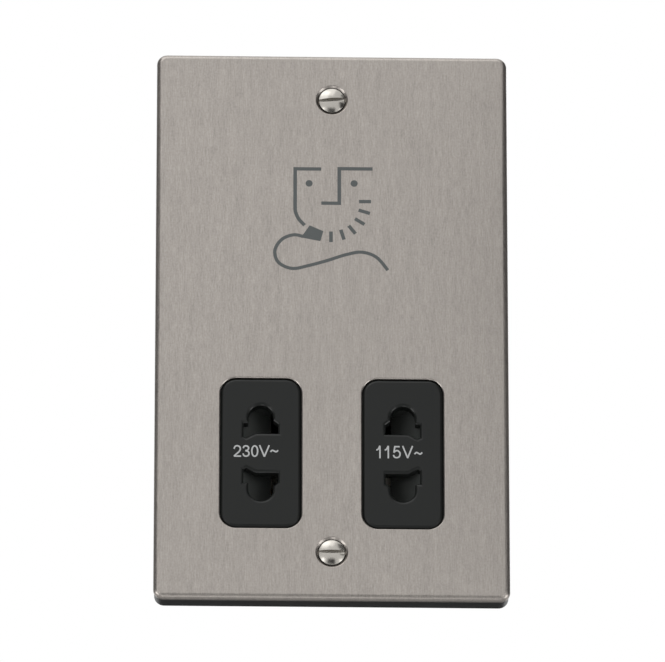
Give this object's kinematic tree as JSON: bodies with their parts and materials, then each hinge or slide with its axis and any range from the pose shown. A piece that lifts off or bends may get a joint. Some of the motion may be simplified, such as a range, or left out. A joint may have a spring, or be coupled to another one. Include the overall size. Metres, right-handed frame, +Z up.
{
  "type": "shaver socket",
  "caption": "Dual-voltage shaver supply socket: portrait brushed steel plate with a 230 V and a 115 V outlet side by side, over a deep black back with an isolating transformer.",
  "frame": {"origin": "On the wall plane, half way between the two fixing screws", "axes": "+X to the right seen from the front, +Y into the wall, +Z up. The front faces -Y"},
  "size_m": [0.087, 0.0468, 0.145],
  "materials": {
    "plate_steel": "fine vertical brushed grain",
    "black_moulding": "satin black",
    "bright_screw": "bright nickel",
    "housing_plastic": "fine spark texture",
    "shutter_plastic": "smooth, self-lubricating",
    "spring_steel": "drawn wire",
    "block_plastic": "cream heat-resistant moulding",
    "contact_brass": "rolled strip",
    "core_varnish": "dipped laminations",
    "former_plastic": "natural nylon",
    "winding_tape": "polyester tape over the mains winding",
    "winding_copper": "enamelled copper wire",
    "cutout_sleeve": "insulating sleeve",
    "terminal_brass": "machined",
    "tinned_strip": "tinned copper strip",
    "spring_bronze": "spring-tempered strip",
    "zinc_screw": "zinc plated",
    "terminal_screw": "yellow passivated",
    "lead_red": "sleeved",
    "lead_black": "sleeved",
    "lead_yellow": "sleeved",
    "lead_blue": "sleeved",
    "lead_brown": "sleeved"
  },
  "bodies": {
    "socket": {"cover_plate": "plate_steel", "outlet_moulding": "black_moulding", "fixing_screw_top": "bright_screw", "fixing_screw_bottom": "bright_screw", "rear_housing": "housing_plastic", "shutter_spring_left": "spring_steel", "shutter_spring_right": "spring_steel", "contact_block": "block_plastic", "contact_common": "contact_brass", "contact_230": "contact_brass", "contact_115": "contact_brass", "transformer_core": "core_varnish", "coil_former": "former_plastic", "mains_winding": "winding_tape", "output_winding": "winding_copper", "thermal_cutout": "cutout_sleeve", "terminal_live": "terminal_brass", "terminal_earth": "terminal_brass", "terminal_neutral": "terminal_brass", "earth_strip": "tinned_strip", "switch_blade": "spring_bronze", "switch_contact": "contact_brass", "core_bolts": "zinc_screw", "housing_screws": "zinc_screw", "contact_block_screws": "zinc_screw", "terminal_screws": "terminal_screw", "lead_output_115": "lead_red", "lead_output_common": "lead_black", "lead_output_230": "lead_yellow", "lead_neutral": "lead_blue", "lead_live": "lead_brown", "lead_switch": "lead_brown"},
    "interlock_shutter": {"shutter": "shutter_plastic"}
  },
  "joints": [
    {"name": "shutter_slide", "type": "slide", "parent": "socket", "child": "interlock_shutter", "axis": [1, 0, 0], "range_m": [-0.007, 0.007], "stiffness_N_per_m": 400, "deforming": ["shutter_spring_left", "shutter_spring_right", "switch_blade"]}
  ]
}
